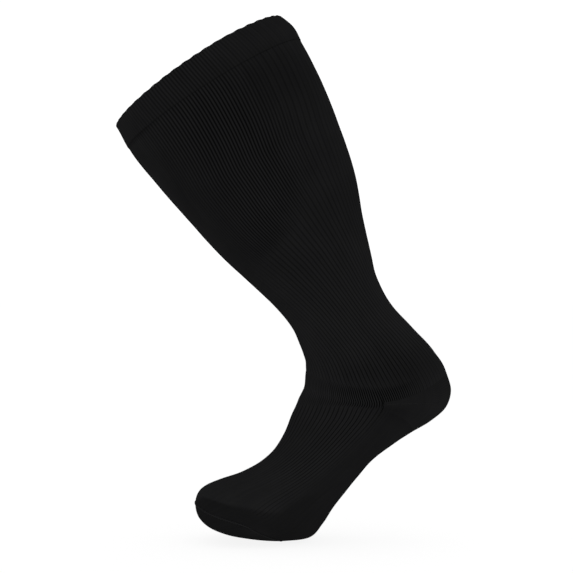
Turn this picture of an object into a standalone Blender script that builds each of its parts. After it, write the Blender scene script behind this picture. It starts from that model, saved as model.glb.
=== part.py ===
"""A knee-high compression stocking with a closed toe, filled out as on a leg, with no wearer.

The stocking is one circular-knit tube: a turned welt, a ribbed leg, a plain heel pocket, a foot
that is ribbed over the instep and plain on the sole, and a plain toe pocket. Each of them is a
closed wall of cloth, and all of them are cut from one surface, swept through the rings below.

Frame: metres, +Z up, toes towards -X, the two sides mirrored in Y. The origin is the middle of
the welt, where the calf holds the stocking up.
"""
import bpy
import bmesh
import numpy as np

MM = 0.001
COLLECTION = "compression_stocking"

# Cloth walls.
SEAM_GAP = 0.3 * MM  # between two pieces where they meet
CLOTH = 1.5 * MM  # single knit, from the plain inside to the crests of the ribs
WELT_CLOTH = 2.6 * MM  # the turned welt has two layers
WELT_PROUD = 0.5 * MM  # by which its outer layer stands out over the leg

# Ribs, one to each wale, raised on the outside only.
WALES = 168
GROOVE = 0.3 * MM  # depth between two ribs
PAIR_GROOVE = 0.45 * MM  # every second groove is deeper, so the ribs read as pairs
RIB_EDGE_ANGLE = np.radians(12)  # faces that meet at more than this are shaded with an edge
WELT_LEAN_WALES = 2.0  # by which the welt's ribs lean forward at the sides, over its height

# Rim of the welt.
SCALLOP_DEPTH = 0.7 * MM  # shallow waves where the elastic gathers the rim
SCALLOPS = 46

# Seam that closes the toe: a low ridge on the outside.
TOE_SEAM_HEIGHT = 0.6 * MM
TOE_SEAM_WIDTH = 2.4 * MM
TOE_SEAM_REACH = 0.42  # of a turn to each side of the front, where its two ends lie

# Columns run along the wales: an even one is a rib's crest, an odd one a groove. Plain walls and
# the inside take every few of the same columns, so that neighbouring edges match.
RIB_COLUMNS = 2 * WALES
SIDE_COLUMN = RIB_COLUMNS // 4  # where the instep half and the sole half meet
PLAIN_STEP = 4
INNER_STEP = 8
WELT_ROWS = 4
LEG_ROWS = 11
LEG_CROWDING = 0.4  # how much closer the leg's rows lie at the ankle than on average
HEEL_ROWS = 8
FOOT_ROWS = 7
TOE_ROWS = 6

# Fineness of the surface's own sums.
QUARTER_SAMPLES = 33  # places on each quarter ring at which the wales' even spacing is kept
FINE_SAMPLES = 8 * QUARTER_SAMPLES  # steps that measure a quarter ring's length
STEP = 0.2 * MM  # along the tube, for the surface's slopes
TURN_STEP = 0.001  # round the tube
SEAM_STEPS = 4  # rounds that settle where a seam's edge lies

# Rings of the cloth's plain inside, from the rim to the tip of the toe. Each passes through a point
# at the front of the shin or instep, one at the side and one at the back of the calf, heel or sole,
# all three in millimetres in the mirror plane. The side point stands half_width off that plane.
RING_COLUMNS = (
    "name", "front_x", "front_z", "side_x", "side_z", "back_x", "back_z", "half_width",
)
RINGS = (
    ("rim", -80, -40, -6, 12, 65, 56, 79),
    ("welt shoulder", -77, -45, -1, 3, 75, 48, 82),
    ("welt edge", -69, -60, 7, -12, 83, 35, 83),
    ("upper calf", -45, -91, 28, -47, 102, -2, 80),
    ("full calf", -17, -123, 51, -83, 118, -42, 74),
    ("lower calf", 13, -156, 72, -120, 132, -85, 65),
    ("calf end", 42, -183, 90, -154, 139, -124, 54),
    ("shin", 64, -204, 105, -180, 146, -155, 46),
    ("above ankle", 77, -220, 115, -200, 151, -176, 41),
    ("tendon", 85, -237, 127, -225, 164, -201, 38),
    ("ankle", 90, -252, 140, -249, 183, -222, 37),
    ("ankle bone", 90, -264, 150, -272, 203, -244, 36),
    ("heel start", 89, -275, 158, -289, 214, -263, 35),
    ("heel back", 88, -278, 158, -291, 218, -278, 35),
    ("heel gore", 86, -282, 158, -292, 214, -292, 35),
    ("heel bottom", 84, -286, 158, -293, 201, -304, 35),
    ("heel end", 82, -291, 157, -295, 184, -314, 35),
    ("arch", 77, -302, 146, -306, 164, -327, 35),
    ("instep", 71, -317, 131, -322, 147, -340, 36),
    ("mid foot", 61, -333, 112, -340, 134, -355, 38),
    ("before ball", 47, -345, 93, -355, 122, -370, 41),
    ("ball", 30, -354, 76, -366, 112, -383, 44),
    ("ball front", 12, -360, 60, -376, 103, -397, 46),
    ("toe start", 0, -365, 48, -385, 93, -408, 47),
    ("toes", -6, -370, 34, -391, 74, -411, 46),
    ("toe tips", -9, -380, 17, -395, 46, -410, 40),
    ("toe end", -6, -390, 6, -397, 20, -405, 29),
    ("tip", -1, -394, 1, -396, 4, -399, 16),
)

# Colours of the knit: base colour and roughness.
KNIT_MATERIALS = {
    "welt": ((0.0110, 0.0110, 0.0115), 0.82),
    "leg": ((0.0085, 0.0085, 0.0090), 0.84),
    "heel": ((0.0095, 0.0095, 0.0100), 0.88),
    "foot": ((0.0090, 0.0090, 0.0095), 0.86),
    "toe": ((0.0095, 0.0095, 0.0100), 0.88),
}


def ring_points():
    """The table's front, side and back points and half widths, in metres."""
    table = dict(zip(RING_COLUMNS, zip(*RINGS)))
    lines = []
    for line in ("front", "side", "back"):
        lines.append(np.array([table[line + "_x"], table[line + "_z"]]).T * MM)
    return *lines, np.array(table["half_width"]) * MM


def ring_lengths(front, side, back):
    """Distance of each ring from the rim, as the mean of the three lines along the tube."""
    steps = [np.linalg.norm(np.diff(line, axis=0), axis=1) for line in (front, side, back)]
    return np.concatenate([[0.0], np.cumsum(np.mean(steps, axis=0))])


FRONT, SIDE, BACK, HALF_WIDTH = ring_points()
LENGTHS = ring_lengths(FRONT, SIDE, BACK)
RING_NAMES = [row[0] for row in RINGS]


def length_of(name):
    """Distance of a named ring from the rim."""
    return LENGTHS[RING_NAMES.index(name)]


def smooth(values, length):
    """Read a smooth curve through one value for each ring at any distance from the rim."""
    slopes = np.gradient(values, LENGTHS, axis=0)
    last = len(LENGTHS) - 2
    low = np.clip(np.searchsorted(LENGTHS, length, side="right") - 1, 0, last)
    span = LENGTHS[low + 1] - LENGTHS[low]
    part = (length - LENGTHS[low]) / span
    if values.ndim == 2:
        span = span[..., None]
        part = part[..., None]
    keep = (1 + 2 * part) * (1 - part) ** 2
    leave = part * (1 - part) ** 2 * span
    reach = part**2 * (3 - 2 * part)
    arrive = part**2 * (part - 1) * span
    return values[low] * keep + slopes[low] * leave + values[low + 1] * reach + slopes[low + 1] * arrive


def ring_outline(front, side, back, half_width, angle):
    """Points of a ring, from the front at angle 0 over the side to the back at angle pi."""
    forward = np.cos(angle)[..., None]
    middle = (front + back) / 2
    plane = middle + forward * (front - back) / 2 + (1 - forward**2) * (side - middle)
    y = half_width * np.sin(angle)
    return np.stack([plane[..., 0], y, plane[..., 1]], axis=-1)


def even_angles():
    """For each ring, the angles that divide its front and back quarters into equal lengths."""
    tables = []
    for ring in zip(FRONT, SIDE, BACK, HALF_WIDTH):
        quarters = []
        for start in (0.0, np.pi / 2):
            angle = np.linspace(start, start + np.pi / 2, FINE_SAMPLES)
            points = ring_outline(*ring, angle)
            steps = np.linalg.norm(np.diff(points, axis=0), axis=1)
            run = np.concatenate([[0.0], np.cumsum(steps)])
            quarters.append(np.interp(np.linspace(0, run[-1], QUARTER_SAMPLES), run, angle))
        tables.append(np.concatenate([quarters[0], quarters[1][1:]]))
    return np.array(tables)


EVEN_ANGLES = even_angles()


def wale_angle(length, turn):
    """Angle on the ring for a turn of the tube: 0 at the front, 0.5 at the back, 1 full round."""
    turn = np.mod(turn, 1.0)
    half = np.minimum(turn, 1.0 - turn) * 2
    place = half * (EVEN_ANGLES.shape[1] - 1)
    column = np.clip(place.astype(int), 0, EVEN_ANGLES.shape[1] - 2)
    across = place - column
    ring = np.clip(np.searchsorted(LENGTHS, length, side="right") - 1, 0, len(LENGTHS) - 2)
    down = (length - LENGTHS[ring]) / (LENGTHS[ring + 1] - LENGTHS[ring])
    upper = EVEN_ANGLES[ring, column] * (1 - across) + EVEN_ANGLES[ring, column + 1] * across
    lower = EVEN_ANGLES[ring + 1, column] * (1 - across) + EVEN_ANGLES[ring + 1, column + 1] * across
    angle = upper * (1 - down) + lower * down
    return np.where(turn <= 0.5, angle, 2 * np.pi - angle)


def skin(length, turn):
    """Points of the swept surface."""
    rings = [smooth(values, length) for values in (FRONT, SIDE, BACK, HALF_WIDTH)]
    return ring_outline(*rings, wale_angle(length, turn))


def outward(length, turn):
    """Unit normals of the swept surface, away from the hollow."""
    start = np.clip(length - STEP, LENGTHS[0], LENGTHS[-1] - 2 * STEP)
    along = skin(start + 2 * STEP, turn) - skin(start, turn)
    around = skin(length, turn + TURN_STEP) - skin(length, turn - TURN_STEP)
    normal = np.cross(around, along)
    return normal / np.linalg.norm(normal, axis=-1, keepdims=True)


def cloth(length, turn, lift):
    """Points of a cloth face, lifted outwards off the swept surface by lift."""
    return skin(length, turn) + outward(length, turn) * lift[..., None]


def beside(length, turn, distance):
    """Lengths that lie a distance further along the tube's surface, for seams between pieces."""
    start = skin(length, turn)
    reach = np.full(np.shape(turn), distance)
    for _ in range(SEAM_STEPS):
        run = np.linalg.norm(skin(length + reach, turn) - start, axis=-1)
        reach = reach * abs(distance) / run
    return length + reach


def rib_lift(column):
    """Crests of the ribs on the even columns, grooves on the odd ones."""
    return CLOTH - np.where(column % 2 == 0, 0.0, np.where(column % 4 == 1, GROOVE, PAIR_GROOVE))


def plain_columns(step, first=0, last=RIB_COLUMNS - 1):
    """Every few columns from the first to the last, and those on each side of the half-way lines."""
    ends = (first, last) if first else ()
    sides = (SIDE_COLUMN, SIDE_COLUMN + 1, 3 * SIDE_COLUMN - 1, 3 * SIDE_COLUMN)
    kept = set(range(0, RIB_COLUMNS, step)) | set(sides)
    return np.array(sorted(set(ends) | {column for column in kept if first <= column <= last}))


def rows_between(start, end, count, crowding=0.0):
    """A grid of lengths with count rows, closer together near the end where they crowd."""
    part = np.linspace(0, 1, count)[:, None]
    part = part + crowding * part * (1 - part)
    return start[None, :] * (1 - part) + end[None, :] * part


class Wall:
    """Vertices and faces of one closed wall of cloth."""

    def __init__(self):
        self.points = []
        self.faces = []

    def add_grid(self, points):
        """Add a grid of points, rows by columns, and give their indices."""
        first = len(self.points)
        self.points.extend(points.reshape(-1, 3))
        return np.arange(first, len(self.points)).reshape(points.shape[:2])

    def sheet(self, grid, closed):
        """Faces between the neighbouring rows and columns of a grid."""
        if closed:
            grid = np.concatenate([grid, grid[:, :1]], axis=1)
        for upper, lower in zip(grid[:-1], grid[1:]):
            for a, b, c, d in zip(upper[:-1], upper[1:], lower[1:], lower[:-1]):
                self.faces.append((a, b, c, d))

    def edge(self, outer, outer_columns, inner, inner_columns):
        """Faces from an outer row to an inner row that has fewer columns."""
        i = 0
        j = 0
        while i < len(outer) - 1 or j < len(inner) - 1:
            outer_next = outer_columns[i + 1] if i < len(outer) - 1 else np.inf
            inner_next = inner_columns[j + 1] if j < len(inner) - 1 else np.inf
            if outer_next <= inner_next:
                self.faces.append((outer[i], outer[i + 1], inner[j]))
                i += 1
            else:
                self.faces.append((outer[i], inner[j + 1], inner[j]))
                j += 1

    def closed_edge(self, outer, outer_columns, inner, inner_columns):
        """An edge all round the tube."""
        self.edge(
            np.append(outer, outer[0]), np.append(outer_columns, RIB_COLUMNS),
            np.append(inner, inner[0]), np.append(inner_columns, RIB_COLUMNS),
        )

    def cap(self, ring):
        """Close the tip: faces straight across a ring, between its two mirrored sides."""
        count = len(ring)
        left = ring[1:count // 2]
        right = ring[:count // 2:-1]
        self.faces.append((ring[0], left[0], right[0]))
        for a, b, c, d in zip(left[:-1], left[1:], right[1:], right[:-1]):
            self.faces.append((a, b, c, d))
        self.faces.append((left[-1], ring[count // 2], right[-1]))

    def build(self, name, collection):
        """Make the wall's object, with its own material."""
        mesh = bpy.data.meshes.new(name)
        mesh.from_pydata([tuple(p) for p in self.points], [], [tuple(map(int, f)) for f in self.faces])
        shape = bmesh.new()
        shape.from_mesh(mesh)
        bmesh.ops.recalc_face_normals(shape, faces=shape.faces)
        shape.to_mesh(mesh)
        shape.free()
        mesh.shade_smooth()
        mesh.set_sharp_from_angle(angle=RIB_EDGE_ANGLE)
        mesh.materials.append(knit_material(name))
        piece = bpy.data.objects.new(name, mesh)
        collection.objects.link(piece)
        return piece


def knit_material(name):
    """A dull black knit."""
    colour, roughness = KNIT_MATERIALS[name]
    material = bpy.data.materials.new(name + "_knit")
    material.use_nodes = True
    shader = material.node_tree.nodes["Principled BSDF"]
    shader.inputs["Base Color"].default_value = (*colour, 1.0)
    shader.inputs["Roughness"].default_value = roughness
    shader.inputs["Metallic"].default_value = 0.0
    return material


def tube(name, collection, outer_columns, lift, start, end, rows, inside=0.0, crowding=0.0, lean=None):
    """A wall all round the tube. start and end give the length of its edges at given turns."""
    wall = Wall()
    sides = []
    for columns, heights in ((outer_columns, lift), (plain_columns(INNER_STEP), np.array([inside]))):
        turns = columns / RIB_COLUMNS
        lengths = rows_between(start(turns), end(turns), rows, crowding)
        spread = np.broadcast_to(turns, lengths.shape)
        if lean is not None:
            spread = spread + lean(lengths, spread)
        sides.append(wall.add_grid(cloth(lengths, spread, np.broadcast_to(heights, lengths.shape))))
        wall.sheet(sides[-1], closed=True)
    outer, inner = sides
    for row in (0, -1):
        wall.closed_edge(outer[row], outer_columns, inner[row], plain_columns(INNER_STEP))
    return wall.build(name, collection)


def rim_line(turn):
    """The rim, gathered into shallow scallops by its elastic."""
    wave = (1 + np.cos(2 * np.pi * SCALLOPS * turn)) / 2
    return SCALLOP_DEPTH * wave


def welt_lower_line(turn):
    length = np.full_like(turn, length_of("welt edge"))
    return beside(length, turn, -SEAM_GAP / 2)


def leg_upper_line(turn):
    length = np.full_like(turn, length_of("welt edge"))
    return beside(length, turn, SEAM_GAP / 2)


def on_instep(turn):
    """True on the front half of the tube."""
    turn = np.mod(turn, 1.0)
    return (turn <= 0.25) | (turn >= 0.75)


def leg_lower_line(turn):
    """The leg ends at the heel pocket on the back half, and at the gore's level in front."""
    length = np.where(on_instep(turn), length_of("heel gore"), length_of("heel start"))
    return beside(length, turn, -SEAM_GAP / 2)


def foot_upper_line(turn):
    """The foot starts where the leg and the heel pocket end."""
    length = np.where(on_instep(turn), length_of("heel gore"), length_of("heel end"))
    return beside(length, turn, SEAM_GAP / 2)


def foot_lower_line(turn):
    length = np.full_like(turn, length_of("toe start"))
    return beside(length, turn, -SEAM_GAP / 2)


def toe_upper_line(turn):
    length = np.full_like(turn, length_of("toe start"))
    return beside(length, turn, SEAM_GAP / 2)


def welt_lean(length, turn):
    """The welt's ribs lean towards the front as they rise, most at the sides."""
    height = 1 - length / length_of("welt edge")
    return -WELT_LEAN_WALES / WALES * height * np.sin(2 * np.pi * turn)


def make_welt(collection):
    columns = np.arange(RIB_COLUMNS)
    return tube(
        "welt", collection, columns, rib_lift(columns) + WELT_PROUD, rim_line, welt_lower_line,
        WELT_ROWS, inside=CLOTH + WELT_PROUD - WELT_CLOTH, lean=welt_lean,
    )


def make_leg(collection):
    columns = np.arange(RIB_COLUMNS)
    return tube(
        "leg", collection, columns, rib_lift(columns), leg_upper_line, leg_lower_line, LEG_ROWS,
        crowding=LEG_CROWDING,
    )


def make_foot(collection):
    """Ribs over the instep half, plain columns under the sole."""
    columns = plain_columns(PLAIN_STEP)
    sole = columns[(columns > SIDE_COLUMN) & (columns < 3 * SIDE_COLUMN)]
    instep = np.arange(3 * SIDE_COLUMN, RIB_COLUMNS)
    columns = np.concatenate([np.arange(SIDE_COLUMN + 1), sole, instep])
    lift = np.where(np.isin(columns, sole), CLOTH, rib_lift(columns))
    return tube("foot", collection, columns, lift, foot_upper_line, foot_lower_line, FOOT_ROWS)


def make_heel(collection):
    """A plain pocket on the back half, narrow at the sides and deep at the back."""
    wall = Wall()
    sides = []
    for step, lift in ((PLAIN_STEP, CLOTH), (INNER_STEP, 0.0)):
        columns = plain_columns(step, SIDE_COLUMN + 1, 3 * SIDE_COLUMN - 1)
        turns = columns / RIB_COLUMNS
        start = beside(np.full(turns.shape, length_of("heel start")), turns, SEAM_GAP / 2)
        end = beside(np.full(turns.shape, length_of("heel end")), turns, -SEAM_GAP / 2)
        lengths = rows_between(start, end, HEEL_ROWS)
        spread = np.broadcast_to(turns, lengths.shape)
        grid = wall.add_grid(cloth(lengths, spread, np.full(lengths.shape, lift)))
        wall.sheet(grid, closed=False)
        sides.append((columns, grid))
    (outer_columns, outer), (inner_columns, inner) = sides
    for row in (0, -1):
        wall.edge(outer[row], outer_columns, inner[row], inner_columns)
        wall.sheet(np.stack([outer[:, row], inner[:, row]]), closed=False)
    return wall.build("heel", collection)


def toe_seam_lift(turn):
    """Lift of the closing seam's ridge, which runs round the front from side to side."""
    reach = np.minimum(turn, 1 - turn)
    return CLOTH + np.where(reach <= TOE_SEAM_REACH, TOE_SEAM_HEIGHT, 0.0)


def make_toe(collection):
    """A plain pocket that closes at the tip, with its seam as a ridge round the front."""
    wall = Wall()
    sides = []
    for step, height in ((PLAIN_STEP, CLOTH), (INNER_STEP, 0.0)):
        columns = np.arange(0, RIB_COLUMNS, step)
        turns = columns / RIB_COLUMNS
        seam = np.full(turns.shape, length_of("toe tips"))
        tip = np.full(turns.shape, LENGTHS[-1] - CLOTH + height)
        edge = TOE_SEAM_WIDTH / 2
        before = rows_between(toe_upper_line(turns), beside(seam, turns, -edge), TOE_ROWS // 2)
        after = rows_between(beside(seam, turns, edge), tip, TOE_ROWS // 2)
        lengths = np.concatenate([before, seam[None, :], after])
        lift = np.full(lengths.shape, height)
        if height == CLOTH:
            lift[TOE_ROWS // 2] = toe_seam_lift(turns)
        grid = wall.add_grid(cloth(lengths, np.broadcast_to(turns, lengths.shape), lift))
        wall.sheet(grid, closed=True)
        wall.cap(grid[-1])
        sides.append((columns, grid))
    (outer_columns, outer), (inner_columns, inner) = sides
    wall.closed_edge(outer[0], outer_columns, inner[0], inner_columns)
    return wall.build("toe", collection)


def clear_scene():
    for item in list(bpy.data.objects):
        bpy.data.objects.remove(item, do_unlink=True)


def main():
    clear_scene()
    collection = bpy.data.collections.new(COLLECTION)
    bpy.context.scene.collection.children.link(collection)
    make_welt(collection)
    make_leg(collection)
    make_heel(collection)
    make_foot(collection)
    make_toe(collection)


main()
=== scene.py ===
import math

import bmesh
import bpy
import numpy as np
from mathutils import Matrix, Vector


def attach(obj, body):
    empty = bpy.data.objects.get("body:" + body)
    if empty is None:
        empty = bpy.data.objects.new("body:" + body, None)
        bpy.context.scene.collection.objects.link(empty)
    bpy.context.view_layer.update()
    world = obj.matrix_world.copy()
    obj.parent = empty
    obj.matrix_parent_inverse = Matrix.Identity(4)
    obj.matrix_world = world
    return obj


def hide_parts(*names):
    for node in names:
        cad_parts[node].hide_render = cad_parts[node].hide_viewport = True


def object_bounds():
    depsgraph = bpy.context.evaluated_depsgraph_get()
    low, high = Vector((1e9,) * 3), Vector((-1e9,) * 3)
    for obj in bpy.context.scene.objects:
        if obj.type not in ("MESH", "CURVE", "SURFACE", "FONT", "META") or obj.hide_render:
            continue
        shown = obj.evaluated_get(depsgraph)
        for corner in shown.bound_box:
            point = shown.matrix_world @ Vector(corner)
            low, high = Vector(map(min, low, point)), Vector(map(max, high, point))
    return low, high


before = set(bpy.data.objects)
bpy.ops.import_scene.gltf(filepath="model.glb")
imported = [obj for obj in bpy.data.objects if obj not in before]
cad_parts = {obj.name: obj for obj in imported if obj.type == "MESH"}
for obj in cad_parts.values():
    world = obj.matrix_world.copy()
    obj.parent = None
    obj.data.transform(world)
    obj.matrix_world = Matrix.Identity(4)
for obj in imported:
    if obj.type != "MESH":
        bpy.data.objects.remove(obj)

CAD_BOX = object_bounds()
MM = 0.001

# ---------- Sizes
# Picture: PICTURE pixels square, seen level and square to the stocking's side.
PICTURE = 573
METRES_PER_PIXEL = 0.9 * MM  # in the stocking's mirror plane
ORIGIN_PIXEL = (207.0, 81.0)  # where the origin, the middle of the welt, lies in the picture
CAMERA_DISTANCE = 1.40
CAMERA_CLIP = (0.05, 100.0)
SENSOR = 36.0

# Cloth, as in the solids.
CLOTH = 1.5 * MM
WELT_CLOTH = 2.6 * MM
WELT_PROUD = 0.5 * MM  # how far the welt's outside stands out past the leg's
WALES = 168

# Finer form of the shells.
COURSE = 1.0 * MM  # height of one stitch
RIB_SAMPLES = 4  # columns to each wale
GROOVE = 0.45 * MM  # depth of a groove of strength 1
GROOVE_WIDTH = 0.20  # of a wale, to each side of the groove's middle
SHELL_GAP = 0.002 * MM  # from each piece to the line where it meets the next
INNER_STEP = 4  # columns of the ribbed outside to one column of its plain inside
EDGE_ANGLE = math.radians(65)  # faces that meet at more than this are shaded with an edge

# Rings of the cloth's plain inside, from the rim to the tip of the toe, in millimetres. Each has a
# point at the front, one at the side and one at the back, and half its width. The last column is
# how far the knit is twisted round the leg there, in wales.
RING_COLUMNS = (
    "name", "front_x", "front_z", "side_x", "side_z", "back_x", "back_z", "half_width", "twist",
)
RINGS = (
    ("rim", -80, -40, -6, 12, 65, 56, 79, 17.4),
    ("welt shoulder", -77, -45, -1, 3, 75, 48, 82, 16.7),
    ("welt edge", -69, -60, 7, -12, 83, 35, 83, 15.4),
    ("upper calf", -45, -91, 28, -47, 102, -2, 80, 15.4),
    ("full calf", -17, -123, 51, -83, 118, -42, 74, 17.6),
    ("lower calf", 13, -156, 72, -120, 132, -85, 65, 17.8),
    ("calf end", 42, -183, 90, -154, 139, -124, 54, 15.4),
    ("shin", 64, -204, 105, -180, 146, -155, 46, 12.5),
    ("above ankle", 77, -220, 115, -200, 151, -176, 41, 9.2),
    ("tendon", 85, -237, 127, -225, 164, -201, 38, 4.9),
    ("ankle", 90, -252, 140, -249, 183, -222, 37, 1.9),
    ("ankle bone", 90, -264, 150, -272, 203, -244, 36, 0),
    ("heel start", 89, -275, 156.5, -286.5, 214, -263, 35, 0),
    ("heel back", 88, -278, 156.5, -288.3, 218, -278, 35, 0),
    ("heel gore", 86, -282, 156.4, -289.6, 214, -292, 35, 0),
    ("heel bottom", 84, -286, 156.2, -291.0, 201, -304, 35, 0),
    ("heel end", 82, -291, 155.3, -293.4, 184, -314, 35, 0),
    ("arch", 77, -302, 146, -306, 164, -327, 35, 0),
    ("instep", 71, -317, 131, -322, 147, -340, 36, 0),
    ("mid foot", 61, -333, 112, -340, 134, -355, 38, 0),
    ("before ball", 47, -345, 93, -355, 122, -370, 41, 0),
    ("ball", 30, -354, 76, -366, 112, -383, 44, 0),
    ("ball front", 12, -360, 60, -376, 103, -397, 46, 0),
    ("toe start", 0, -365, 48, -385, 93, -408, 47, 0),
    ("toes", -6, -370, 34, -391, 74, -411, 46, 0),
    ("toe tips", -9, -380, 17, -395, 46, -410, 40, 0),
    ("toe end", -6, -390, 6, -397, 20, -405, 29, 0),
    ("tip", -1, -394, 1, -396, 4, -399, 16, 0),
)


# ---------- The swept surface
def ring_points():
    """The table's front, side and back points and half widths in metres, and twists in wales."""
    table = dict(zip(RING_COLUMNS, zip(*RINGS)))
    lines = []
    for line in ("front", "side", "back"):
        lines.append(np.array([table[line + "_x"], table[line + "_z"]]).T * MM)
    return *lines, np.array(table["half_width"])[:, None] * MM, np.array(table["twist"], dtype=float)


def run_along(points):
    """Distance of each point of a line from the first one, along the line."""
    steps = np.linalg.norm(np.diff(points, axis=0), axis=1)
    return np.concatenate([[0.0], np.cumsum(steps)])


def ring_lengths(front, side, back):
    """Distance of each ring from the rim, as the mean of the three lines along the tube."""
    steps = [np.linalg.norm(np.diff(line, axis=0), axis=1) for line in (front, side, back)]
    return np.concatenate([[0.0], np.cumsum(np.mean(steps, axis=0))])


FRONT, SIDE, BACK, HALF_WIDTH, TWIST = ring_points()
LENGTHS = ring_lengths(FRONT, SIDE, BACK)
RING_NAMES = [row[0] for row in RINGS]


def length_of(name):
    """Distance of a named ring from the rim."""
    return LENGTHS[RING_NAMES.index(name)]


def between_rings(length):
    """The ring before a length, and the weights of a smooth curve's values and slopes there."""
    low = np.clip(np.searchsorted(LENGTHS, length, side="right") - 1, 0, len(LENGTHS) - 2)
    span = LENGTHS[low + 1] - LENGTHS[low]
    part = (length - LENGTHS[low]) / span
    start = (1 + 2 * part) * (1 - part) ** 2
    start_slope = part * (1 - part) ** 2 * span
    end = part**2 * (3 - 2 * part)
    end_slope = part**2 * (part - 1) * span
    return low, (start, start_slope, end, end_slope)


def smooth(values, length, column=None):
    """Read a smooth curve through the rings' rows of values at any distance from the rim.

    It gives the whole row, or where each length has a column, that column's value alone.
    """
    slopes = np.gradient(values, LENGTHS, axis=0)
    low, weights = between_rings(length)
    if column is None:
        weights = [weight[..., None] for weight in weights]
        here = low
        there = low + 1
    else:
        here = (low, column)
        there = (low + 1, column)
    start, start_slope, end, end_slope = weights
    leaving = values[here] * start + slopes[here] * start_slope
    return leaving + values[there] * end + slopes[there] * end_slope


def read_table(columns, rows, length):
    """The values of a table's other columns at any length, by their names."""
    table = dict(zip(columns, zip(*rows)))
    return {name: np.interp(length / MM, table["length"], table[name]) for name in columns[1:]}


def smoothstep(low, high, value):
    """A soft step from 0 at the low value to 1 at the high one."""
    part = np.clip((value - low) / (high - low), 0, 1)
    return part * part * (3 - 2 * part)


def reach_round(turn):
    """How far round from the front, 0, to the back, 0.5, on either side."""
    turn = np.mod(turn, 1.0)
    return np.minimum(turn, 1.0 - turn)


def ring_outline(front, side, back, half_width, angle):
    """Points of a ring, from the front at angle 0 over the side to the back at angle pi."""
    forward = np.cos(angle)[..., None]
    middle = (front + back) / 2
    plane = middle + forward * (front - back) / 2 + (1 - forward**2) * (side - middle)
    y = half_width[..., 0] * np.sin(angle)
    return np.stack([plane[..., 0], y, plane[..., 1]], axis=-1)


QUARTER_SAMPLES = 33  # places on each quarter ring at which the turns' even spacing is kept
FINE_SAMPLES = 8 * QUARTER_SAMPLES  # steps that measure a quarter ring's length


def even_angles():
    """For each ring, the angles that divide its front and back quarters into equal lengths."""
    tables = []
    for ring in zip(FRONT, SIDE, BACK, HALF_WIDTH):
        quarters = []
        for start in (0.0, np.pi / 2):
            angle = np.linspace(start, start + np.pi / 2, FINE_SAMPLES)
            points = ring_outline(*ring, angle)
            run = run_along(points)
            quarters.append(np.interp(np.linspace(0, run[-1], QUARTER_SAMPLES), run, angle))
        tables.append(np.concatenate([quarters[0], quarters[1][1:]]))
    return np.array(tables)


EVEN_ANGLES = even_angles()


def wale_angle(length, turn):
    """Angle on the ring for a turn of the tube: 0 at the front, 0.5 at the back, 1 full round."""
    turn = np.mod(turn, 1.0)
    place = np.minimum(turn, 1.0 - turn) * 2 * (EVEN_ANGLES.shape[1] - 1)
    column = np.clip(place.astype(int), 0, EVEN_ANGLES.shape[1] - 2)
    across = place - column
    near = smooth(EVEN_ANGLES, length, column)
    far = smooth(EVEN_ANGLES, length, column + 1)
    angle = near * (1 - across) + far * across
    return np.where(turn <= 0.5, angle, 2 * np.pi - angle)


# Over the instep the wales turn past the heel in a curve, and only the side wale turns sharply.
TURN_ROUNDING = np.linspace(-1, 1, 7) * 20 * MM  # shifts along the tube that the curve averages
TURN_REACH = (0.225, 0.2495)  # where it fades out towards the side
TURN_SPAN = 45 * MM  # how far it reaches along the tube from the heel's gore


def skin(length, turn):
    """Points of the swept surface."""
    lines = [smooth(values, length) for values in (FRONT, SIDE, BACK, HALF_WIDTH)]
    front, side, back, half_width = lines
    eased = 1 - smoothstep(*TURN_REACH, reach_round(turn))[..., None]
    window = [np.clip(length + shift, LENGTHS[0], LENGTHS[-1]) for shift in TURN_ROUNDING]
    curved = np.mean([smooth(SIDE, place) for place in window], axis=0)
    near_heel = np.exp(-(((length - length_of("heel gore")) / TURN_SPAN) ** 4))[..., None]
    side = side + (curved - side) * eased * near_heel
    return ring_outline(front, side, back, half_width, wale_angle(length, turn))


SPREAD_COLUMNS = ("length", "front", "ends", "between")
SPREADS = (
    # How much wider apart the wales lie than on average, as shares: at the front and closer at the
    # back, at both and closer at the sides, and halfway between those and closer at all four.
    (0, -0.04, 0.00, 0.09),
    (100, -0.04, 0.00, 0.09),
    (125, -0.01, 0.01, 0.075),
    (155, 0.025, 0.02, 0.025),
    (200, 0.08, 0.05, 0.03),
    (285, 0.05, 0.06, 0.03),
    (310, 0.00, 0.00, 0.00),
    (362, 0.00, 0.00, 0.00),
    (380, 0.00, 0.07, 0.04),
    (440, 0.00, 0.06, 0.04),
    (480, 0.00, 0.00, 0.00),
)


def twisted(length, wale):
    """The turn of a wale, in a knit that is twisted above the ankle and unevenly spread."""
    angle = 2 * np.pi * (wale + smooth(TWIST[:, None], length)[..., 0]) / WALES
    spread = read_table(SPREAD_COLUMNS, SPREADS, length)
    by_front = spread["front"] * np.sin(angle)
    by_ends = spread["ends"] * np.sin(2 * angle) / 2
    by_between = spread["between"] * np.sin(4 * angle) / 4
    return (angle + by_front + by_ends - by_between) / (2 * np.pi)


STEP = 0.2 * MM  # along the tube, for the surface's slopes
TURN_STEP = 0.001  # round the tube
SETTLING_ROUNDS = 4  # in which a distance along the surface settles


def outward(length, turn):
    """Unit normals of the swept surface, away from the hollow."""
    start = np.clip(length - STEP, LENGTHS[0], LENGTHS[-1] - 2 * STEP)
    along = skin(start + 2 * STEP, turn) - skin(start, turn)
    around = skin(length, turn + TURN_STEP) - skin(length, turn - TURN_STEP)
    normal = np.cross(around, along)
    return normal / np.linalg.norm(normal, axis=-1, keepdims=True)


def cloth(length, turn, lift):
    """Points of a cloth face, lifted outwards off the swept surface by lift."""
    return skin(length, turn) + outward(length, turn) * np.asarray(lift)[..., None]


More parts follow.
